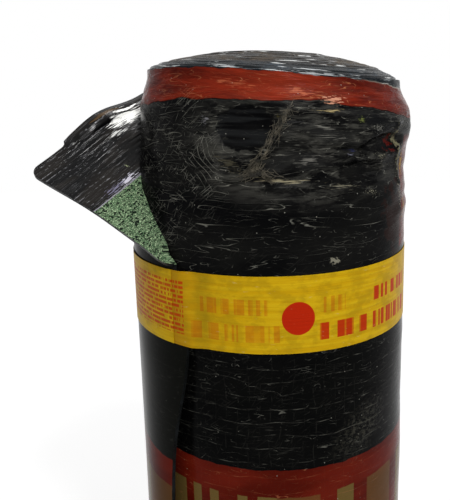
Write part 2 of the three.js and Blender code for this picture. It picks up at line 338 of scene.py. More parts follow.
tape_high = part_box("banding_tape_upper")[1]
AXIS_X = tape_high.x / MM - (tape_radius(along_at(0)) + TAPE_THICKNESS)
AXIS_Y = tape_high.y / MM - (tape_radius(along_at(90)) + TAPE_THICKNESS)


def to_metres(points):
    return (points + np.array([AXIS_X, AXIS_Y, 0.0])) * MM


# ---------------------------------------------------------------- modelling helpers
def deselect_all():
    for other in bpy.context.selected_objects:
        other.select_set(False)


def select_only(piece):
    deselect_all()
    piece.select_set(True)
    bpy.context.view_layer.objects.active = piece


def steps(*stretches):
    """Places along one direction: stretches are (start, end, spacing), joined end to end."""
    places = []
    for start, end, spacing in stretches:
        count = max(1, round((end - start) / spacing))
        places.extend(start + (end - start) * i / count for i in range(count))
    places.append(stretches[-1][1])
    return np.array(places)


def laid_felt(name, columns, rows, face, settle=None):
    """Adds a flat grid, lays it where `face` says and writes its felt coordinates as the UV map."""
    deselect_all()
    bpy.ops.mesh.primitive_grid_add(x_subdivisions=len(columns) - 1, y_subdivisions=len(rows) - 1, size=1)
    piece = bpy.context.object
    piece.name = piece.data.name = name
    flat = np.zeros(len(piece.data.vertices) * 3)
    piece.data.vertices.foreach_get("co", flat)
    flat = flat.reshape(-1, 3)
    along = columns[np.rint((flat[:, 0] + 0.5) * (len(columns) - 1)).astype(int)]
    height = rows[np.rint((flat[:, 1] + 0.5) * (len(rows) - 1)).astype(int)]
    if settle:
        along, height = settle(along, height)
    piece.data.vertices.foreach_set("co", to_metres(face(along, height)).ravel())
    corner = np.zeros(len(piece.data.loops), dtype=np.int32)
    piece.data.loops.foreach_get("vertex_index", corner)
    uv = np.column_stack([along[corner], height[corner]]) * MM
    piece.data.uv_layers.active.data.foreach_set("uv", uv.ravel())
    piece.data.uv_layers.active.name = "felt"
    piece.data.update()
    bpy.ops.object.mode_set(mode="EDIT")
    bpy.ops.mesh.select_all(action="SELECT")
    bpy.ops.mesh.flip_normals()
    bpy.ops.object.mode_set(mode="OBJECT")
    return piece, along, height


def apply_modifier(piece, kind, **settings):
    select_only(piece)
    modifier = piece.modifiers.new(kind.title(), kind)
    for key, value in settings.items():
        setattr(modifier, key, value)
    bpy.ops.object.modifier_apply(modifier=modifier.name)


def smooth_faces(piece):
    select_only(piece)
    bpy.ops.object.shade_smooth_by_angle(angle=math.radians(SMOOTH_ANGLE))


def thicken(piece, outside):
    """Gives laid felt its thickness: the outside's finish, granules inside, cut bitumen on the edges."""
    for material in (outside, mineral, bitumen):
        piece.data.materials.append(material)
    slots = {"material_offset": 1, "material_offset_rim": 2}
    apply_modifier(piece, "SOLIDIFY", thickness=SHEET_THICKNESS * MM, offset=-1, **slots)


# ---------------------------------------------------------------- material helpers
IOR = 1.5                       # polyethylene, polypropylene, bitumen and slate are all near this

MODES = {"Math": "operation", "VectorMath": "operation", "MapRange": "interpolation_type", "Mix": "data_type"}


def linear(hex_colour):
    """sRGB hex to linear RGBA."""
    values = [int(hex_colour[i : i + 2], 16) / 255 for i in (1, 3, 5)]
    return [v / 12.92 if v <= 0.04045 else ((v + 0.055) / 1.055) ** 2.4 for v in values] + [1.0]


def add(tree, kind, inputs=(), mode=None, **settings):
    """Adds a node. Inputs are numbers, hex colours, sockets, or nodes whose result is taken, in the
    order of the node's own sockets or by their names. Mode is what the node is set to first."""
    made = tree.nodes.new("ShaderNode" + kind)
    if mode:
        setattr(made, MODES[kind], mode)
    for key, value in settings.items():
        setattr(made, key, value)
    if not isinstance(inputs, dict):
        shown = [number for number, socket in enumerate(made.inputs) if socket.enabled]
        inputs = dict(zip(shown, inputs))
    for key, value in inputs.items():
        if isinstance(value, str):
            value = linear(value)
        if isinstance(value, bpy.types.Node):
            value = next(out for out in value.outputs if out.enabled)
        if isinstance(value, bpy.types.NodeSocket):
            tree.links.new(value, made.inputs[key])
        else:
            made.inputs[key].default_value = value
    return made


def new_material(name):
    material = bpy.data.materials.new(name)
    material.use_nodes = True
    material.node_tree.nodes.clear()
    return material, material.node_tree


def on_felt(tree):
    """The place on the felt in millimetres, whole and as along and height."""
    metres = add(tree, "UVMap", uv_map="felt")
    felt = add(tree, "VectorMath", [metres, 1 / MM], "SCALE")
    parts = add(tree, "SeparateXYZ", [felt])
    return felt, parts.outputs[0], parts.outputs[1]


def layered(tree, colour, *layers):
    """Lays colours over a ground in turn. Each layer is its mask, how strong it is, and its colour."""
    for mask, strength, over in layers:
        share = add(tree, "Math", [mask, strength], "MULTIPLY")
        colour = add(tree, "Mix", [share, colour, over], "RGBA")
    return colour


def surface(tree, colour, roughness, specular, relief=None, depth=0.0, strength=1.0):
    """Ends a material with its shader, bumped by a relief whose depth is in millimetres."""
    inputs = {"Base Color": colour, "Roughness": roughness, "IOR": IOR, "Specular IOR Level": specular}
    if relief:
        inputs["Normal"] = add(tree, "Bump", {"Strength": strength, "Distance": depth * MM, "Height": relief})
    add(tree, "OutputMaterial", {"Surface": add(tree, "BsdfPrincipled", inputs)})


# ---------------------------------------------------------------- patterns on the felt
def grain(tree, felt, size, shift, **settings):
    """A slow pattern from 0 to 1 whose grains have a size along and across the felt in millimetres."""
    scale = (1 / size[0], 1 / size[1], 1)
    place = add(tree, "VectorMath", [felt, scale, (shift, 2 * shift, 0)], "MULTIPLY_ADD")
    return add(tree, "TexNoise", {"Vector": place, "Scale": 1, **settings})


def blotches(tree, felt, size, shift, low, high, most=1, **settings):
    """The upper part of a grain: nothing below low, and most above high."""
    slow = grain(tree, felt, size, shift, **settings)
    return add(tree, "MapRange", [slow, low, high, 0, most], "SMOOTHSTEP")


def between(tree, place, rise, fall, mode="SMOOTHSTEP"):
    """1 between two soft steps, each given as where it starts and where it is over."""
    after = add(tree, "MapRange", [place, *rise], mode)
    before = add(tree, "MapRange", [place, *fall], mode)
    return add(tree, "Math", [after, before], "MULTIPLY")


def crease_lines(tree, felt, size, width, shift, kept_from):
    """Thin broken lines, drawn where a slow pattern crosses its middle and kept in some places."""
    slow = grain(tree, felt, size, shift, Detail=1.5, Distortion=0.5)
    off = add(tree, "Math", [slow, 0.5], "SUBTRACT")
    off = add(tree, "Math", [off], "ABSOLUTE")
    line = add(tree, "MapRange", [off, width, width * 0.2], "SMOOTHSTEP")
    coarser = (size[0] * 0.55, size[1] * 0.8)
    kept = blotches(tree, felt, coarser, shift + 5, kept_from, kept_from + 0.16, Detail=3)
    return add(tree, "Math", [line, kept], "MULTIPLY")


def scratches(tree, felt, turn, size, shift, kept_from):
    """Straight tapering scratches, all at one slant. Size is their length and spacing."""
    slant = {"Vector": felt, "Rotation": (0, 0, math.radians(turn)), "Scale": (size[0], size[1], 1)}
    slanted = add(tree, "Mapping", slant, vector_type="TEXTURE")
    slanted = add(tree, "VectorMath", [slanted, (shift, 3 * shift, 0)], "ADD")
    peak = add(tree, "TexNoise", {"Vector": slanted, "Scale": 1, "Detail": 1})
    return add(tree, "MapRange", [peak, kept_from, kept_from + 0.05], "SMOOTHSTEP")


def felt_patch(tree, felt, place, half, turn=0.0):
    """An oval patch of the felt, 1 in its middle and 0 from its edge on. Place is along and depth."""
    oval_place = {"Vector": felt, "Location": (place[0], FELT_WIDTH - place[1], 0)}
    oval_place |= {"Rotation": (0, 0, math.radians(turn)), "Scale": (half[0], half[1], 1)}
    local = add(tree, "Mapping", oval_place, vector_type="TEXTURE")
    return add(tree, "TexGradient", {"Vector": local}, gradient_type="SPHERICAL").outputs[1]


def ragged_patch(tree, felt, place, half, turn, size, shift, low, soft=0.09, rim=0.12):
    """An oval mark that breaks up into grain of a size. The higher low, the less is left of it."""
    patch = felt_patch(tree, felt, place, half, turn)
    broken = grain(tree, felt, size, shift, Detail=3, Roughness=0.6)
    mark = add(tree, "Math", [patch, 0.38, broken], "MULTIPLY_ADD")
    mark = add(tree, "MapRange", [mark, low, low + soft], "SMOOTHSTEP")
    inside = add(tree, "MapRange", [patch, 0, rim])
    return add(tree, "Math", [mark, inside], "MULTIPLY")


# ---------------------------------------------------------------- materials
def printed_film():
    """Torch-off film: thin black polyethylene pressed on bitumen, with dull red print. To the eye
    it is almost black, glossy and crossed by hair-fine creases that catch the light. Much of that
    light, with sheen and shade, is painted into its colour."""
    material, tree = new_material("torch_off_film_printed")
    felt, along, height = on_felt(tree)

    # how far from the nearer edge of the felt, with a little wander as the film was laid
    far_edge = add(tree, "Math", [FELT_WIDTH, height], "SUBTRACT")
    edge = add(tree, "Math", [height, far_edge], "MINIMUM")
    ragged = add(tree, "MapRange", [grain(tree, felt, (13, 13), 1, Detail=3), 0, 1, -1.6, 1.6])
    edge = add(tree, "Math", [edge, ragged], "ADD")
    row = add(tree, "CombineXYZ", [along])
    wavy = add(tree, "MapRange", [grain(tree, row, (22, 1), 33, Detail=2), 0.25, 0.75, -1.3, 1.3])

    # where the film slid down, where it sagged by the lap, and where the dent drew it up
    slid = between(tree, along, (565, 460), (280, 400))
    sagged = add(tree, "MapRange", [along, 672, 745], "SMOOTHSTEP")
    raised = between(tree, along, (558, 578), (622, 600))

    # the printed stripe along the edge, the wide band with its plain bars, and a plain panel
    film_edge = add(tree, "Math", [slid, 7.5, 0.5], "MULTIPLY_ADD")
    film_edge = add(tree, "Math", [wavy, -0.5, film_edge], "MULTIPLY_ADD")
    into_film = add(tree, "Math", [edge, film_edge], "SUBTRACT")
    on_film = add(tree, "MapRange", [into_film, -0.3, 0.3], "SMOOTHSTEP")
    stripe_low = add(tree, "Math", [slid, 17, 22], "MULTIPLY_ADD")
    for moved, most in ((sagged, 5), (raised, -3), (wavy, 1)):
        stripe_low = add(tree, "Math", [moved, most, stripe_low], "MULTIPLY_ADD")
    stripe = add(tree, "Math", [edge, stripe_low], "SUBTRACT")
    stripe = add(tree, "MapRange", [stripe, 0.4, -0.4], "SMOOTHSTEP")
    stripe = add(tree, "Math", [stripe, on_film], "MULTIPLY")
    band = add(tree, "MapRange", [edge, BAND_FROM, BAND_FROM + 0.8], "SMOOTHSTEP")
    panel = add(tree, "Math", [ragged, 2.5, along], "MULTIPLY_ADD")
    panel = add(tree, "MapRange", [panel, 499, 496], "SMOOTHSTEP")
    panel_far = add(tree, "MapRange", [along, 404, 406], "SMOOTHSTEP")
    for limit in (panel_far, between(tree, far_edge, (50, 56), (139, 136))):
        panel = add(tree, "Math", [panel, limit], "MULTIPLY")
    printed = add(tree, "Math", [stripe, panel], "MAXIMUM")
    bar = blotches(tree, row, (15, 1), 3, 0.495, 0.505, Detail=0)
    bar = add(tree, "Math", [bar, between(tree, edge, (303, 304), (392, 391))], "MULTIPLY")

    # ground colours
    cloud = blotches(tree, felt, (60, 24), 2, 0.36, 0.66, Detail=4)
    tired = blotches(tree, felt, (38, 8), 3, 0.36, 0.64, Detail=6, Roughness=0.62)
    # painted light and shade: the stripe's red is lighter in its middle and darker from along 560 down to 500
    middle = felt_patch(tree, felt, (610, 14), (56, 90))
    turned = add(tree, "MapRange", [along, 560, 500], "SMOOTHSTEP")
    below_tape = add(tree, "MapRange", [height, 850, 800], "SMOOTHSTEP")
    # painted shade: the black film is darker from the upper tape down
    black = layered(tree, "#060607", (cloud, 1, "#111110"), (below_tape, 0.7, "#030303"))
    red = layered(tree, "#6e1f10", (tired, 1, "#4a120b"), (middle, 0.6, "#8c301c"), (turned, 0.5, "#470f08"))
    # the wide band's red is darker than the stripe's, partly print and partly painted shade
    low_red = layered(tree, "#4c0f06", (cloud, 1, "#63190d"), (bar, 1, "#65512a"))
    colour = layered(tree, black, (printed, 1, red), (band, 1, low_red))
    printed = add(tree, "Math", [printed, band], "MAXIMUM")

    # the lap and the back have lain against other rolls: an even olive bloom and hardly a crease
    lap = add(tree, "MapRange", [along, 330, 130, 0, 0.8], "SMOOTHSTEP")
    bloom = add(tree, "Math", [printed, -0.7, 0.9], "MULTIPLY_ADD")
    bloom = add(tree, "Math", [bloom, lap], "MULTIPLY")
    creased = add(tree, "Math", [1, lap], "SUBTRACT")

    # the knocked crown: olive dust drawn into streaks and broad blotches of painted sheen, but clean, dark
    # and smooth in the dent, which soft bands of painted sheen cross
    streak = grain(tree, felt, (17, 4.4), 4, Detail=6, Roughness=0.7, Distortion=1.5)
    patchy = grain(tree, felt, (32, 10), 32, Detail=3, Distortion=1.2)
    crown = felt_patch(tree, felt, (572, 50), (132, 54), -4)
    crown = add(tree, "MapRange", [crown, 0.02, 0.4], "SMOOTHSTEP")
    unprinted = add(tree, "Math", [printed, -0.8, 1], "MULTIPLY_ADD")
    hollow = felt_patch(tree, felt, (633, 43), (29, 24), -8)
    hollow = add(tree, "Math", [grain(tree, felt, (7, 7), 16, Detail=3), 0.6, hollow], "MULTIPLY_ADD")
    inside = add(tree, "MapRange", [hollow, 0.52, 0.64], "SMOOTHSTEP")
    clean = add(tree, "Math", [1, inside], "SUBTRACT")
    dusty = add(tree, "Mix", [0.55, streak, patchy])
    dusty = add(tree, "MapRange", [dusty, 0.44, 0.64], "SMOOTHSTEP")
    for limit in (crown, unprinted, clean):
        dusty = add(tree, "Math", [dusty, limit], "MULTIPLY")
    rubbed = blotches(tree, felt, (3.4, 2.6), 5, 0.46, 0.6, Detail=5, Roughness=0.75)
    rubbed = add(tree, "Math", [rubbed, felt_patch(tree, felt, (548, 262), (34, 20), -35)], "MULTIPLY")
    dust = add(tree, "Math", [dusty, rubbed], "MAXIMUM")
    # painted sheen: broad lighter grey blotches over the crown
    pressed = blotches(tree, felt, (30, 16), 27, 0.46, 0.66, 0.5, Detail=2)
    for limit in (crown, unprinted):
        pressed = add(tree, "Math", [pressed, limit], "MULTIPLY")
    # painted sheen: soft lighter bands across the dark film of the dent
    dent_sheen_bands = blotches(tree, felt, (40, 5), 25, 0.42, 0.62, Detail=2)
    dent_film_with_sheen = add(tree, "Mix", [dent_sheen_bands, "#050506", "#1b1c1d"], "RGBA")
    colour = layered(
        tree, colour, (bloom, 1, "#0e0f0b"), (dusty, 0.5, "#54534d"), (rubbed, 0.4, "#58564a"),
        (pressed, 1, "#2a2a29"), (inside, 0.85, dent_film_with_sheen),
    )

    # stretched lines round the dent, drawn pale as painted highlights
    pull = add(tree, "VectorMath", [felt, (DENT_PLACE[0], FELT_WIDTH - DENT_PLACE[1], 0)], "DISTANCE")
    pull = add(tree, "Math", [grain(tree, felt, (19, 19), 24, Detail=0), 14, pull], "MULTIPLY_ADD")
    pull = add(tree, "Math", [pull, 2.1], "PINGPONG")
    pull = add(tree, "MapRange", [pull, 0.26, 0.05], "SMOOTHSTEP")
    kept = felt_patch(tree, felt, (664, 68), (36, 36))
    kept = add(tree, "Math", [kept, 0.5, grain(tree, felt, (7, 5), 17, Detail=3)], "MULTIPLY_ADD")
    kept = add(tree, "MapRange", [kept, 0.72, 0.95, 0, 0.75], "SMOOTHSTEP")
    pull = add(tree, "Math", [pull, kept], "MULTIPLY")

    # hair-fine creases, and straight scratches that are thick by the lap
    long_crease = crease_lines(tree, felt, (52, 7), 0.007, 10, 0.44)
    long_share = add(tree, "MapRange", [below_tape, 0, 1, 0.7, 0.11])
    long_crease = add(tree, "Math", [long_crease, long_share], "MULTIPLY")
    small_crease = crease_lines(tree, felt, (17, 5.5), 0.009, 11, 0.5)
    small_crease = add(tree, "Math", [small_crease, 0.55], "MULTIPLY")
    hairs = scratches(tree, felt, -38, (26, 0.75), 3, 0.655)
    for turn, size, shift in ((24, (17, 0.7), 7), (-64, (15, 0.7), 11), (-6, (34, 0.7), 13)):
        hairs = add(tree, "Math", [hairs, scratches(tree, felt, turn, size, shift, 0.665)], "MAXIMUM")
    by_lap = felt_patch(tree, felt, (696, 62), (56, 74))
    by_lap = add(tree, "MapRange", [by_lap, 0, 0.5, 0.06, 0.85], "SMOOTHSTEP")
    thick = grain(tree, felt, (16, 12), 26, Detail=3)
    thick = add(tree, "MapRange", [thick, 0.4, 0.66, 0.15, 1], "SMOOTHSTEP")
    by_lap = add(tree, "Math", [by_lap, thick], "MULTIPLY")
    hairs = add(tree, "Math", [hairs, by_lap], "MULTIPLY")
    # painted glints: thin pale streaks over the crown
    fine = blotches(tree, felt, (15, 1.5), 18, 0.58, 0.68, Detail=4, Roughness=0.6)
    for limit in (crown, blotches(tree, felt, (38, 13), 19, 0.46, 0.64, Detail=3)):
        fine = add(tree, "Math", [fine, limit], "MULTIPLY")

    # below the tape, the square pattern that the felt's carrier presses through the film
    bow = grain(tree, felt, (46, 34), 14, Detail=2)
    here = grain(tree, felt, (11, 6), 15, Detail=4, Roughness=0.65)
    threads = []
    for place, sway, apart, low, high, most in (
        (height, 12, 5.2, 0.42, 0.74, 0.46),
        (along, 9, 4, 0.55, 0.36, 0.07),
    ):
        thread = add(tree, "Math", [bow, sway, place], "MULTIPLY_ADD")
        thread = add(tree, "Math", [thread, apart], "PINGPONG")
        thread = add(tree, "MapRange", [thread, 0.4, 0.06], "SMOOTHSTEP")
        shown = add(tree, "MapRange", [here, low, high, 0, most], "SMOOTHSTEP")
        threads.append(add(tree, "Math", [thread, shown], "MULTIPLY"))
    weave = add(tree, "Math", threads, "MAXIMUM")
    weave = add(tree, "Math", [weave, below_tape], "MULTIPLY")

    creases = long_crease
    for more in (small_crease, hairs, weave, pull, fine):
        creases = add(tree, "Math", [creases, more], "MAXIMUM")
    for limit in (creased, add(tree, "MapRange", [clean, 0, 1, 0.12, 1])):
        creases = add(tree, "Math", [creases, limit], "MULTIPLY")
    # the creases, scratches, stretched lines, carrier pattern and streaks are laid on in pale colours: partly
    # whitened film, partly painted glints
    share = add(tree, "MapRange", [printed, 0, 1, 0.66, 0.58])
    share = add(tree, "Math", [crown, 0.3, share], "MULTIPLY_ADD")
    sheen = add(tree, "Mix", [printed, "#8b8a80", "#b8714a"], "RGBA")

    # specks of grit
    place = add(tree, "VectorMath", [felt, (1 / GRIT_APART, 1 / GRIT_APART, 1)], "MULTIPLY")
    cell = add(tree, "TexVoronoi", {"Vector": place, "Scale": 1})
    pick = add(tree, "SeparateColor", [cell.outputs[1]])
    pick = add(tree, "Math", [by_lap, 0.34, pick], "MULTIPLY_ADD")
    pick = add(tree, "MapRange", [pick, 0.974, 0.98])
    speck = add(tree, "MapRange", [cell.outputs[0], 0.18, 0.08], "SMOOTHSTEP")
    for limit in (pick, creased):
        speck = add(tree, "Math", [speck, limit], "MULTIPLY")
    colour = layered(tree, colour, (creases, share, sheen), (speck, 0.5, "#b4b3a8"))

    # single marks: place, half size, slant, grain, how broken, colour and strength
    for place, half, turn, size, broken, hex_colour, most in (
        # the first two rows are painted shade in the two pits; the third darkens the smooth lump above them
        ((526, 57), (30, 13), 10, (9, 3), 0.94, "#060607", 0.9),
        ((550, 75), (30, 11), 6, (9, 3), 0.96, "#060607", 0.85),
        ((532, 40), (32, 13), 12, (12, 4), 0.96, "#0a0b0d", 0.85),
        ((508, 112), (26, 34), 0, (9, 9), 0.95, "#220d08", 0.65),
        ((572, 134), (4.6, 3.6), 12, (3, 3), 1.0, "#7f7c6d", 0.9),
        # this row is partly scuffing and partly painted highlights on the stripe's lumps
        ((572, 18), (20, 8), -4, (5, 1.3), 1.2, "#cf9477", 0.75),
        ((594, 13), (24, 8), 6, (9, 1.2), 1.24, "#b9694a", 0.6),
        ((640, 10), (46, 7), 4, (10, 0.9), 1.3, "#b0603f", 0.55),
        # this row is a painted cream highlight along the stripe's lower edge
        ((577, 27.5), (23, 2.6), -3, (9, 0.8), 1.2, "#c4b07e", 0.75),
        ((516, 55), (11, 13), 0, (4, 4), 1.16, "#55110a", 0.85),
        ((506, 63), (5, 38), -19, (1.3, 3), 1.12, "#7d795e", 0.75),
        ((494, 74), (8, 24), -14, (2, 3), 1.2, "#a07c28", 0.8),
        ((490, 108), (9, 24), -8, (2, 3), 1.28, "#a07c28", 0.7),
        ((500, 96), (9, 30), -14, (1.6, 2), 1.34, "#9b9584", 0.7),
        ((553, 35), (5, 6), 0, (1.6, 1.6), 1.16, "#6a723c", 0.6),
        ((536, 44), (18, 11), 20, (1.5, 1), 1.36, "#98978e", 0.8),
        ((530, 66), (16, 9), 20, (1.5, 1), 1.38, "#8f8c78", 0.8),
        ((540, 90), (20, 9), 20, (1.5, 1), 1.4, "#8f8c78", 0.8),
        # the next six rows are painted highlights along the crown's creases and ridges
        ((611, 79), (40, 3), 3, (13, 0.7), 1.18, "#a89e80", 0.65),
        ((590, 66), (26, 9), -8, (9, 0.8), 1.3, "#83817a", 0.6),
        ((566, 84), (34, 6), 4, (9, 0.8), 1.32, "#807b69", 0.6),
        ((582, 42), (18, 3.4), 14, (16, 0.6), 1.2, "#8d8b82", 0.65),
        ((575, 50), (22, 6), 12, (14, 0.6), 1.32, "#8d8b82", 0.6),
        ((662, 38), (8, 6), -20, (4, 1), 1.22, "#77767a", 0.75),
        ((610, 34), (6, 5), 30, (1.4, 1.4), 1.26, "#4c4526", 0.7),
        ((646, 68), (26, 9), 22, (7, 1.2), 1.24, "#4a4638", 0.7),
        # the last two rows are painted glints, a blue one in the slit and a pale one beside it
        ((556, 60.5), (10, 1.8), 2, (6, 0.8), 1.14, "#2a2e4c", 0.75),
        ((558, 63), (12, 1.6), 2, (5, 0.8), 1.28, "#8f90a0", 0.5),
    ):
        mark = ragged_patch(tree, felt, place, half, turn, size, 20 + place[0] / 100, broken * 0.62)
        colour = layered(tree, colour, (mark, most, hex_colour))

    # bare bitumen above the film's own edge, with painted highlights, and a pale line along the film's torn
    # lip painted as a highlight
    bare = add(tree, "Math", [1, on_film], "SUBTRACT")
    shining = blotches(tree, felt, (24, 2.2), 23, 0.52, 0.66, Detail=4, Roughness=0.6)
    bitumen_with_highlights = add(tree, "Mix", [shining, "#12171b", "#8e9395"], "RGBA")
    off_edge = add(tree, "Math", [into_film], "ABSOLUTE")
    lip = add(tree, "MapRange", [off_edge, 0.7, 0.2], "SMOOTHSTEP")
    lip = add(tree, "Math", [lip, dusty], "MULTIPLY")
    lip = add(tree, "Math", [slid, 0.5, lip], "MULTIPLY_ADD", use_clamp=True)
    torn = add(tree, "MapRange", [off_edge, 0.8, 0.25], "SMOOTHSTEP")
    lip = add(tree, "Math", [lip, torn], "MULTIPLY")
    colour = layered(tree, colour, (bare, 1, bitumen_with_highlights), (lip, 1, "#b9b3a4"))

    # relief: drawn wrinkles, the folds of the stripe, the creases and the dust
    relief = grain(tree, felt, (22, 4.4), 30, Detail=4, Roughness=0.6, Distortion=0.4)
    drawn = add(tree, "MapRange", [far_edge, 170, 60, 0.3, 0.9])
    for limit in (drawn, creased, add(tree, "MapRange", [clean, 0, 1, 0.4, 1])):
        relief = add(tree, "Math", [relief, limit], "MULTIPLY")
    folds = grain(tree, felt, (26, 7), 31, Detail=3, Distortion=1.2)
    for limit in (stripe, creased):
        folds = add(tree, "Math", [folds, limit], "MULTIPLY")
    for more, most in ((folds, 1.7), (creases, 0.3), (dust, 0.2)):
        relief = add(tree, "Math", [more, most, relief], "MULTIPLY_ADD")
    roughness = add(tree, "MapRange", [dust, 0, 1, 0.17, 0.36])
    roughness = add(tree, "Math", [lap, 0.06, roughness], "MULTIPLY_ADD")
    surface(tree, colour, roughness, 0.015, relief, 0.8)
    return material


def mineral_face():
    """The felt's weather side: green slate granules pressed into bitumen, matt, a millimetre or so
    across and with dark gaps. Its upper edge is a bare overlap strip under black release film,
    mirror-smooth between streaks drawn along it, with a pale line where the granules start.
    Glints, a bright highlight and the shadow beside the roll are painted into its colour."""
    material, tree = new_material("green_slate_granules")
    felt, along, height = on_felt(tree)
    down = add(tree, "Math", [FELT_WIDTH, height], "SUBTRACT")
    down = add(tree, "Math", [grain(tree, felt, (9, 9), 1, Detail=3), 1.6, down], "MULTIPLY_ADD")
    granular = add(tree, "MapRange", [down, SELVEDGE, SELVEDGE + 0.5], "SMOOTHSTEP")

    # granules, drawn a little coarse so that they show
    place = add(tree, "VectorMath", [felt, (1 / GRANULE_SIZE[0], 1 / GRANULE_SIZE[1], 1)], "MULTIPLY")
    cell = add(tree, "TexVoronoi", {"Vector": place, "Scale": 1})
    gap = add(tree, "TexVoronoi", {"Vector": place, "Scale": 1}, feature="DISTANCE_TO_EDGE")
    tone = add(tree, "SeparateColor", [cell.outputs[1]])
    dark = add(tree, "MapRange", [tone.outputs[1], 0.2, 0.12], "SMOOTHSTEP")
    body = add(tree, "MapRange", [gap, 0.01, 0.13], "SMOOTHSTEP")
    bald = blotches(tree, felt, (9, 7), 8, 0.6, 0.7, 0.55, Detail=4, Roughness=0.65)
    green = layered(tree, "#567653", (tone.outputs[0], 1, "#a2bb92"), (dark, 1, "#152017"))
    green = layered(tree, "#0e160f", (body, 1, green), (bald, 1, "#24301f"))

    # the bare strip: rows of broken streaks, partly painted glints, and a brownish painted sheen
    sheen = blotches(tree, felt, (50, 14), 2, 0.42, 0.64, Detail=4)
    row = add(tree, "Math", [height, STREAK_ROW], "SNAP")
    row = add(tree, "CombineXYZ", [along, row])
    dash = blotches(tree, row, (7, 1.7), 3, 0.55, 0.68, Detail=3, Roughness=0.65)
    off_row = add(tree, "Math", [height, STREAK_ROW / 2], "PINGPONG")
    dash = add(tree, "Math", [dash, add(tree, "MapRange", [off_row, 0.75, 0.15], "SMOOTHSTEP")], "MULTIPLY")
    hair = blotches(tree, felt, (16, 0.7), 4, 0.58, 0.76, 0.6, Detail=4, Roughness=0.6)
    dash = add(tree, "Math", [dash, hair], "MAXIMUM")
    strip = layered(tree, "#060607", (sheen, 1, "#191613"), (dash, 0.62, "#a9a9ad"))

    # single marks of the strip: place, half size, grain, how broken, colour and strength
    for place, half, size, broken, hex_colour, most in (
        # the first three rows are a painted highlight: the bright streaky patch where the flap's swell faces
        # up
        ((92, 14), (25, 10), (12, 1.1), 0.6, "#f2f2ee", 1.0),
        ((70, 24), (20, 8), (9, 1.0), 0.76, "#d9d9d6", 0.85),
        ((104, 30), (20, 12), (14, 1.0), 0.78, "#a9a9aa", 0.7),
        ((78, 5), (26, 3), (16, 1.2), 0.68, "#5a452b", 0.6),
        # the next three rows are painted glints: white where the rolled margin starts, lavender-white above
        # the granules' edge
        ((42, 8), (10, 7), (5, 0.8), 0.84, "#c6c6c4", 0.6),
        ((28, SELVEDGE - 5), (26, 9), (8, 1.2), 0.76, "#77748a", 0.8),
        ((40, SELVEDGE - 4), (17, 7), (6, 1.0), 0.72, "#cbc8d4", 0.9),
        ((50, 54), (4, 5), (2, 2), 0.8, "#a9b08a", 0.8),
        # this row is a painted shadow on the flap next to the roll
        ((70, 48), (26, 15), (22, 5), 0.5, "#050505", 0.85),
    ):
        mark = ragged_patch(tree, felt, place, half, 0, size, 20 + place[0] / 10, broken)
        strip = layered(tree, strip, (mark, most, hex_colour))
    seam = add(tree, "MapRange", [down, SELVEDGE - 0.9, SELVEDGE - 0.5], "SMOOTHSTEP")
    colour = layered(tree, strip, (seam, 1, "#86848c"), (granular, 1, green))

    proud = add(tree, "MapRange", [gap, 0, 0.3, 0, 0.7], "SMOOTHSTEP")
    ripple = grain(tree, felt, (60, 1.6), 7, Detail=4, Roughness=0.55)
    ridge = add(tree, "MapRange", [off_row, 0, STREAK_ROW / 2, 0, 0.55], "SMOOTHSTEP")
    ripple = add(tree, "Math", [ripple, ridge], "ADD")
    ripple = add(tree, "Math", [dash, 0.25, ripple], "MULTIPLY_ADD")
    relief = add(tree, "Mix", [granular, ripple, proud])
    roughness = add(tree, "MapRange", [granular, 0, 1, 0.16, 0.9])
    surface(tree, colour, roughness, 0.11, relief, 0.6)
    return material


def turn_colours(tree, along, streak):
    """The outer turns stand out blue-black and shining, the ones within brown and silvery."""
    black = add(tree, "Mix", [streak, "#0d1114", "#363c42"], "RGBA")
    brown = add(tree, "Mix", [streak, "#0d0b0a", "#4b433a"], "RGBA")
    within = add(tree, "MapRange", [along, LAP_LENGTH * 4.2, LAP_LENGTH * 5.6], "SMOOTHSTEP")
    return add(tree, "Mix", [within, black, brown], "RGBA")


def cut_bitumen():
    """Cut edge of the felt: brown-black bitumen smeared by the knife, dull where dust sticks to it
    and shining where it is fresh."""
    material, tree = new_material("cut_bitumen_edge")
    along = on_felt(tree)[1]
    place = add(tree, "TexCoord").outputs["Object"]
    fine = add(tree, "TexNoise", {"Vector": place, "Scale": 300, "Detail": 5, "Roughness": 0.7})
    wide = add(tree, "TexNoise", {"Vector": place, "Scale": 40, "Detail": 3})
    dusty = add(tree, "Math", [fine, wide], "MULTIPLY")
    dusty = add(tree, "MapRange", [dusty, 0.22, 0.35], "SMOOTHSTEP")
    fresh = add(tree, "MapRange", [along, 5, 0.5])
    colour = layered(tree, turn_colours(tree, along, dusty), (fresh, 0.85, "#0c0d0c"))
    roughness = add(tree, "MapRange", [dusty, 0, 1, 0.3, 0.7])
    surface(tree, colour, roughness, 0.08, fine, 0.8)
    return material


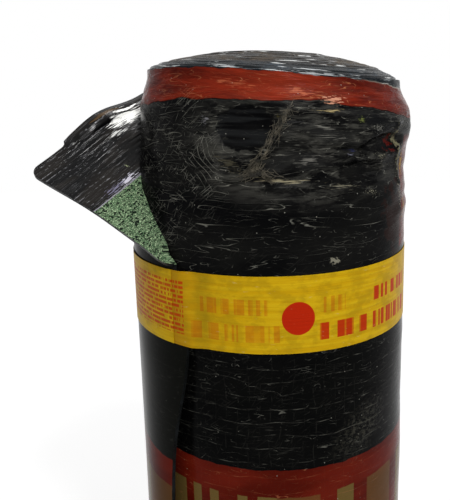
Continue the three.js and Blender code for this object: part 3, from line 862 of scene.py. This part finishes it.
def crown_film():
    """The film of the inner turns where they stand out of the roll: rubbed by handling into
    streaks that run round the roll, grey where dusty, with silver streaks and patches painted on as
    highlights."""
    material, tree = new_material("rubbed_film_on_inner_turns")
    felt, along, _ = on_felt(tree)
    streak = grain(tree, felt, (22, 1.6), 1, Detail=5, Roughness=0.62)
    grey = add(tree, "MapRange", [streak, 0.43, 0.66], "SMOOTHSTEP")
    # painted highlights: pale streaks where two grains are high together
    shine = add(tree, "Math", [streak, grain(tree, felt, (34, 5), 2, Detail=4, Roughness=0.6)], "ADD")
    shine = add(tree, "MapRange", [shine, 1.05, 1.16], "SMOOTHSTEP")
    colour = layered(tree, turn_colours(tree, along, grey), (shine, 1, "#c9cbca"))
    # painted highlights: silver patches on the first turns
    for turns, place, half in (
        (1, 578, 36), (1, 650, 20), (2, 590, 30), (2, 648, 26), (2, 500, 30), (3, 560, 40),
    ):
        middle = (place + turns * LAP_LENGTH, 3)
        silver_highlight = ragged_patch(tree, felt, middle, (half, 10), 0, (11, 1.8), 3 + turns, 0.67, 0.13, 0.15)
        colour = layered(tree, colour, (silver_highlight, 0.6, "#c6cacc"))
    roughness = add(tree, "MapRange", [grey, 0, 1, 0.2, 0.5])
    surface(tree, colour, roughness, 0.15, streak, 0.6)
    return material


def torn_fibre():
    """Glass and polyester strands of the felt's carrier, stained brown by bitumen, with a dry sheen."""
    material, tree = new_material("torn_carrier_fibre")
    place = add(tree, "TexCoord").outputs["Object"]
    stain = add(tree, "TexNoise", {"Vector": place, "Scale": 220, "Detail": 3})
    stain = add(tree, "MapRange", [stain, 0.35, 0.65])
    surface(tree, layered(tree, "#1c1a13", (stain, 1, "#665f50")), 0.5, 0.3)
    return material


def banding_film():
    """Yellow polypropylene banding tape: thin, glossy and drawn into fine lines lengthways, with
    plain red bars printed on it, a fine ruled block and a plain disc in each repeat, and the bars
    of the layer below showing through."""
    material, tree = new_material("yellow_polypropylene_tape")
    felt, along, height = on_felt(tree)
    drawn = grain(tree, felt, (70, 2.6), 1, Detail=4)
    tone = add(tree, "MapRange", [drawn, 0.36, 0.66], "SMOOTHSTEP")
    # darker amber from along 640 on, over the seam and the overlap: partly the doubled layer and its print,
    # partly painted shade
    doubled_and_shaded = add(tree, "MapRange", [along, 640, 735], "SMOOTHSTEP")
    uneven = blotches(tree, felt, (13, 9), 9, 0.42, 0.62, Detail=4, Roughness=0.6)
    colour = layered(
        tree, "#c3990b", (tone, 1, "#cda814"), (doubled_and_shaded, 0.9, "#86450a"), (uneven, 0.5, "#9f7f0e"),
    )

    # one repeat of the print is half a turn long; bars: pattern, size, from and to each way, strength
    repeat = add(tree, "Math", [along, 460], "SUBTRACT")
    repeat = add(tree, "Math", [repeat, LAP_LENGTH / 2, 0], "WRAP")
    row = add(tree, "CombineXYZ", [repeat])
    printed = 0
    for shift, size, start, end, low, high, strength in (
        (1, 6.5, 20, 124, 8, 20, 0.95),
        (2, 5.5, 22, 78, 28, 38, 0.95),
        (3, 6.5, 152, 218, 8, 20, 0.38),
        (4, 5.5, 104, 122, 27, 38, 0.38),
        (5, 5.5, 160, 212, 27, 38, 0.38),
    ):
        bar = blotches(tree, row, (size, 1), shift, 0.485, 0.51, strength, Detail=1)
        for place, rise, fall in ((repeat, start, end), (height, low, high)):
            inside = between(tree, place, (rise - 0.3, rise + 0.3), (fall + 0.3, fall - 0.3))
            bar = add(tree, "Math", [bar, inside], "MULTIPLY")
        printed = add(tree, "Math", [printed, bar], "MAXIMUM")
    disc = add(tree, "CombineXYZ", [repeat, height])
    disc = add(tree, "VectorMath", [disc, (139, 24.5, 0)], "DISTANCE")
    disc = add(tree, "MapRange", [disc, 11.8, 11.3], "SMOOTHSTEP")
    level = add(tree, "Math", [height, RULE_APART], "SNAP")
    level = add(tree, "CombineXYZ", [repeat, level])
    dash = blotches(tree, level, (1.9, 0.6), 6, 0.4, 0.46, Detail=1)
    ruled = add(tree, "Math", [height, RULE_APART / 2], "PINGPONG")
    ruled = add(tree, "MapRange", [ruled, 0.5, 0.8], "SMOOTHSTEP")
    block_along = between(tree, repeat, (221, 221.5), (318, 317), "LINEAR")
    block_high = between(tree, height, (8.5, 9), (48, 47.5), "LINEAR")
    for limit in (block_along, block_high, ruled, 0.82):
        dash = add(tree, "Math", [dash, limit], "MULTIPLY")
    for more in (disc, dash):
        printed = add(tree, "Math", [printed, more], "MAXIMUM")

    # where the tape spans the step of the lap it hangs free over a gap, whose shade is painted in as a
    # greenish darkening
    bridge = add(tree, "Math", [along, 667], "SUBTRACT")
    bridge = add(tree, "Math", [bridge], "ABSOLUTE")
    bridge = add(tree, "MapRange", [bridge, 9, 2], "SMOOTHSTEP")
    bridge = add(tree, "Math", [bridge, grain(tree, felt, (7, 9), 7, Detail=3)], "MULTIPLY")
    pale = blotches(tree, felt, (9, 2.2), 8, 0.64, 0.76, Detail=4, Roughness=0.6)
    colour = layered(
        tree, colour, (printed, 1, "#b02408"), (bridge, 0.4, "#5c5a10"), (pale, 0.45, "#cfc492"),
    )
    surface(tree, colour, 0.38, 0.04, drawn, 0.5, 0.8)
    return material


film = printed_film()
mineral = mineral_face()
bitumen = cut_bitumen()
rubbed = crown_film()
tape_film = banding_film()
fibre = torn_fibre()


# ---------------------------------------------------------------- the felt
def settle_rows(along, height):
    """Shifts the rows above the upper tape so that one of them follows the fold line."""
    rise = (FELT_WIDTH - PEEL_START) / FLAP_REACH
    highest = FELT_WIDTH - FOLD_MARGIN
    fold = np.minimum(PEEL_START + along * rise, highest)
    fold = np.minimum(fold, np.maximum(PEEL_START, highest - (along - FLAP_REACH) * rise))
    share = np.clip((height - UPPER_TAPE_TOP) / (PEEL_START - UPPER_TAPE_TOP), 0, 1)
    low = UPPER_TAPE_TOP + (fold - UPPER_TAPE_TOP) * share
    above = np.clip((height - PEEL_START) / (FELT_WIDTH - PEEL_START), 0, 1)
    moved = np.where(height > PEEL_START, fold + (FELT_WIDTH - fold) * above, low)
    moved = np.where(height <= UPPER_TAPE_TOP, height, moved)
    along, moved = round_corner(along, moved)
    worn = smooth((BEAD_FROM + 2 - along) / WORN_FADE) * smooth((moved - FELT_WIDTH) / WORN_DEPTH + 1)
    return along, moved - CORNER_WORN * worn


def round_corner(along, height):
    """Draws the square of felt at the worn corner into a quarter of a disc."""
    left, up = CORNER_ROUND - along, height - (FELT_WIDTH - CORNER_ROUND)
    inside = (left > 0) & (up > 0)
    share = np.where(inside, np.maximum(left, up) / np.maximum(np.hypot(left, up), 1e-6), 1)
    rounded = np.where(inside, CORNER_ROUND - left * share, along)
    return rounded, np.where(inside, FELT_WIDTH - CORNER_ROUND + up * share, height)


def outer_sheet():
    """The outermost turn with its peeled corner, going on below its own free edge."""
    columns = steps((0, 150, 2.3), (150, 430, 8), (430, 700, 2.5), (700, LAP_LENGTH + UNDER_LAP, 4))
    rows = steps(
        (0, 20, 5),
        (20, UPPER_TAPE_BASE, 14),
        (UPPER_TAPE_BASE, UPPER_TAPE_TOP, 9),
        (UPPER_TAPE_TOP, PEEL_START, 0.2),
        (PEEL_START, PEEL_START + 6, 1.5),
        (PEEL_START + 6, FELT_WIDTH, 2.1),
    )
    piece = laid_felt("felt_outer_sheet", columns, rows, sheet_face, settle_rows)[0]
    thicken(piece, film)
    smooth_faces(piece)
    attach(piece, "root")
    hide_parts("felt_roll")


def inner_face(along, height, inward=0.0):
    """The inner turns: each has slid up a little more than the one around it."""
    angle = math.radians(SEAM_ANGLE) - along / ROLL_RADIUS
    radius = ROLL_RADIUS - FELT_THICKNESS * along / LAP_LENGTH - inward - sunk(along, height)
    within = np.clip((radius - BORE_RADIUS) / (ROLL_RADIUS - BORE_RADIUS), 0, 1)
    level = np.full_like(along, 0.5)
    jog = 0.7 * soft_noise(along / 130, level, 21) + 0.4 * soft_noise(along / 41, level, 22)
    moved = height + CROWN_RISE * (1 - within**2) + jog
    points = np.column_stack([radius * np.cos(angle), radius * np.sin(angle), np.maximum(moved, 0.2)])
    return crush(points)


def inner_turns():
    """The rest of the felt, wound to the bore. Its rims slope as the crown does."""
    start = LAP_LENGTH + UNDER_LAP - SHEET_OVERLAP
    end = LAP_LENGTH * (ROLL_RADIUS - BORE_RADIUS - FELT_THICKNESS) / FELT_THICKNESS
    columns = steps((start, end, LAP_LENGTH / COLUMNS_PER_TURN))
    rows = steps((0, 8, 4), (8, FELT_WIDTH - 130, 170), (FELT_WIDTH - 130, FELT_WIDTH, 10))
    piece, along, height = laid_felt("felt_inner_turns", columns, rows, inner_face)
    thicken(piece, rubbed)
    outside = to_metres(inner_face(along, height))
    inside = to_metres(inner_face(along, height, SHEET_THICKNESS))
    piece.data.vertices.foreach_set("co", np.concatenate([outside, inside]).ravel())
    sharp = math.radians(SMOOTH_ANGLE)
    apply_modifier(piece, "BEVEL", width=EDGE_BEVEL * MM, segments=2, limit_method="ANGLE", angle_limit=sharp)
    smooth_faces(piece)
    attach(piece, "root")


def torn_fibres():
    """Strands of the carrier that came out through the torn film beside the dent: most of them
    along a tear, and the rest in a fan at its lower end. Both routes are in along and depth."""
    draw = np.random.default_rng(17)
    path = np.array([(603, 26), (608, 36), (613, 48), (619, 58), (626, 68), (634, 76)], dtype=float)
    fan = np.array([(634, 76), (622, 73), (612, 80)], dtype=float)
    strands, points = 170, 8
    curve = bpy.data.curves.new("torn_carrier_fibres", "CURVE")
    curve.dimensions = "3D"
    curve.bevel_depth = FIBRE_RADIUS * MM
    curve.bevel_resolution = 0
    for strand in range(strands):
        route = path if strand % 4 else fan
        spot = draw.uniform(0, len(route) - 1.01)
        step = int(spot)
        heading = route[step + 1] - route[step]
        turn = draw.normal(math.atan2(heading[1], heading[0]), 0.16 + 0.3 * draw.uniform() ** 3)
        bend = draw.normal(0, 0.06)
        length = draw.uniform(6, 17)
        apart = draw.normal(0, 0.5 + 2.2 * spot / len(route))
        across = np.array([-heading[1], heading[0]]) / np.hypot(*heading)
        middle = route[step] + heading * (spot - step) + across * apart
        spline = curve.splines.new("POLY")
        spline.points.add(points - 1)
        place = middle - 0.5 * length * np.array([math.cos(turn), math.sin(turn)])
        height_off = draw.uniform(0.1, 1.3)
        for i in range(points):
            lift = 0.1 + height_off * math.sin(math.pi * i / (points - 1))
            at = to_metres(sheet_face(place[:1], FELT_WIDTH - place[1:], lift))[0]
            spline.points[i].co = (*at, 1.0)
            place = place + length / points * np.array([math.cos(turn), math.sin(turn)])
            turn += bend + draw.normal(0, 0.1)
    piece = bpy.data.objects.new("torn_carrier_fibres", curve)
    bpy.context.collection.objects.link(piece)
    piece.data.materials.append(fibre)
    select_only(piece)
    bpy.ops.object.convert(target="MESH")
    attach(piece, "root")


# ---------------------------------------------------------------- the tapes
def tape_face(base):
    """The film wound once round the roll, with its first stretch lying over its last."""

    def face(along, height):
        place = np.mod(along, LAP_LENGTH)
        layer = np.where(along < TAPE_OVERLAP, TAPE_THICKNESS, 0.0)
        radius = tape_radius(place, edge_bow(base + height)) + layer + TAPE_FILM
        angle = math.radians(SEAM_ANGLE) - place / ROLL_RADIUS
        return np.column_stack([radius * np.cos(angle), radius * np.sin(angle), base + height])

    return face


def banding_tape(node, base):
    """One tape, with closer columns where it climbs the free edge."""
    climb = LAP_LENGTH - TAPE_BRIDGE - EDGE_BOW
    columns = steps((0, climb, 6), (climb, LAP_LENGTH, 2), (LAP_LENGTH, LAP_LENGTH + TAPE_OVERLAP, 5))
    piece = laid_felt(node + "_film", columns, steps((0, TAPE_WIDTH, 6)), tape_face(base))[0]
    piece.data.materials.append(tape_film)
    apply_modifier(piece, "SOLIDIFY", thickness=TAPE_FILM * MM, offset=-1)
    smooth_faces(piece)
    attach(piece, "root")
    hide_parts(node)


outer_sheet()
inner_turns()
torn_fibres()
banding_tape("banding_tape_upper", UPPER_TAPE_BASE)
banding_tape("banding_tape_lower", LOWER_TAPE_BASE)


# ---------------------------------------------------------------- camera, light and floor
FRAME_HEIGHT = 500              # pixels, of a frame 450 wide
FOCAL_PIXELS = 615
OPTICAL_ROW = 210               # row of pixels that the lens looks straight at
SENSOR_SIZE = 36
CAMERA_FROM_AXIS = (-7.0, -495.5)
CAMERA_HEIGHT = 975.7
CAMERA_DOWN, CAMERA_LEFT, CAMERA_ROLL = math.radians(10.57), 0.056, -0.032     # radians


def add_camera():
    data = bpy.data.cameras.new("camera")
    camera = bpy.data.objects.new("camera", data)
    bpy.context.collection.objects.link(camera)
    right = Vector((math.cos(CAMERA_LEFT), math.sin(CAMERA_LEFT), 0))
    ahead = Vector((-math.sin(CAMERA_LEFT), math.cos(CAMERA_LEFT), 0))
    forward = ahead * math.cos(CAMERA_DOWN) - Vector((0, 0, 1)) * math.sin(CAMERA_DOWN)
    up = right.cross(forward)
    turned = Matrix.Rotation(-CAMERA_ROLL, 3, forward)
    right, up = turned @ right, turned @ up
    place = Vector((CAMERA_FROM_AXIS[0] + AXIS_X, CAMERA_FROM_AXIS[1] + AXIS_Y, CAMERA_HEIGHT)) * MM
    axes = Matrix((right, up, -forward)).transposed().to_4x4()
    camera.matrix_world = Matrix.Translation(place) @ axes
    data.sensor_width = SENSOR_SIZE
    data.lens = FOCAL_PIXELS / FRAME_HEIGHT * data.sensor_width
    data.shift_y = (OPTICAL_ROW - FRAME_HEIGHT / 2) / FRAME_HEIGHT
    data.clip_start = 0.01
    bpy.context.scene.camera = camera


def add_lamp(name, place, aim, size, power):
    data = bpy.data.lights.new(name, "AREA")
    data.shape = "RECTANGLE"
    data.size, data.size_y = size
    data.energy = power
    lamp = bpy.data.objects.new(name, data)
    bpy.context.collection.objects.link(lamp)
    lamp.location = place
    lamp.rotation_euler = (Vector(aim) - Vector(place)).to_track_quat("-Z", "Y").to_euler()


def looked_at(tree):
    """1 for what the camera, a gloss or a see-through piece looks at, 0 for what lights the scene."""
    path = add(tree, "LightPath")
    seen = add(tree, "Math", [path.outputs["Is Camera Ray"], path.outputs["Is Glossy Ray"]], "MAXIMUM")
    return add(tree, "Math", [seen, path.outputs["Is Transmission Ray"]], "MAXIMUM")


def add_world():
    world = bpy.data.worlds.new("studio")
    bpy.context.scene.world = world
    world.use_nodes = True
    tree = world.node_tree
    tree.nodes.clear()
    dim = add(tree, "Background", {"Color": (1, 1, 1, 1), "Strength": 0.3})
    white = add(tree, "Background", {"Color": (1, 1, 1, 1), "Strength": 1.0})
    mixed = add(tree, "MixShader", [looked_at(tree), dim, white])
    add(tree, "OutputWorld", {"Surface": mixed})


def add_floor():
    bpy.ops.mesh.primitive_plane_add(size=12, location=(0, 0, 0))
    floor = bpy.context.object
    floor.name = "floor"
    material, tree = new_material("pale_studio_floor")
    diffuse = add(tree, "BsdfDiffuse", {"Color": (0.8, 0.8, 0.8, 1)})
    place = add(tree, "TexCoord")
    away = add(tree, "VectorMath", [place.outputs["Object"]], "LENGTH")
    strength = add(tree, "MapRange", [away, 0.4, 2.5, 0.54, 0.8])
    lift = add(tree, "Emission", {"Color": (1, 1, 1, 1), "Strength": strength})
    lifted = add(tree, "AddShader", [diffuse, lift])
    mixed = add(tree, "MixShader", [looked_at(tree), diffuse, lifted])
    add(tree, "OutputMaterial", {"Surface": mixed})
    floor.data.materials.append(material)


add_camera()
add_world()
add_floor()
add_lamp("key_softbox", (0.5, -1.3, 2.0), (0, 0, 0.85), (0.2, 0.2), 21)
add_lamp("fill_softbox", (-1.3, -1.1, 1.6), (0, 0, 0.8), (1.2, 1.2), 3)
add_lamp("top_softbox", (0.29, -0.05, 2.12), (0, 0, 0.95), (0.3, 0.3), 8)
bpy.context.scene.view_settings.view_transform = "Standard"
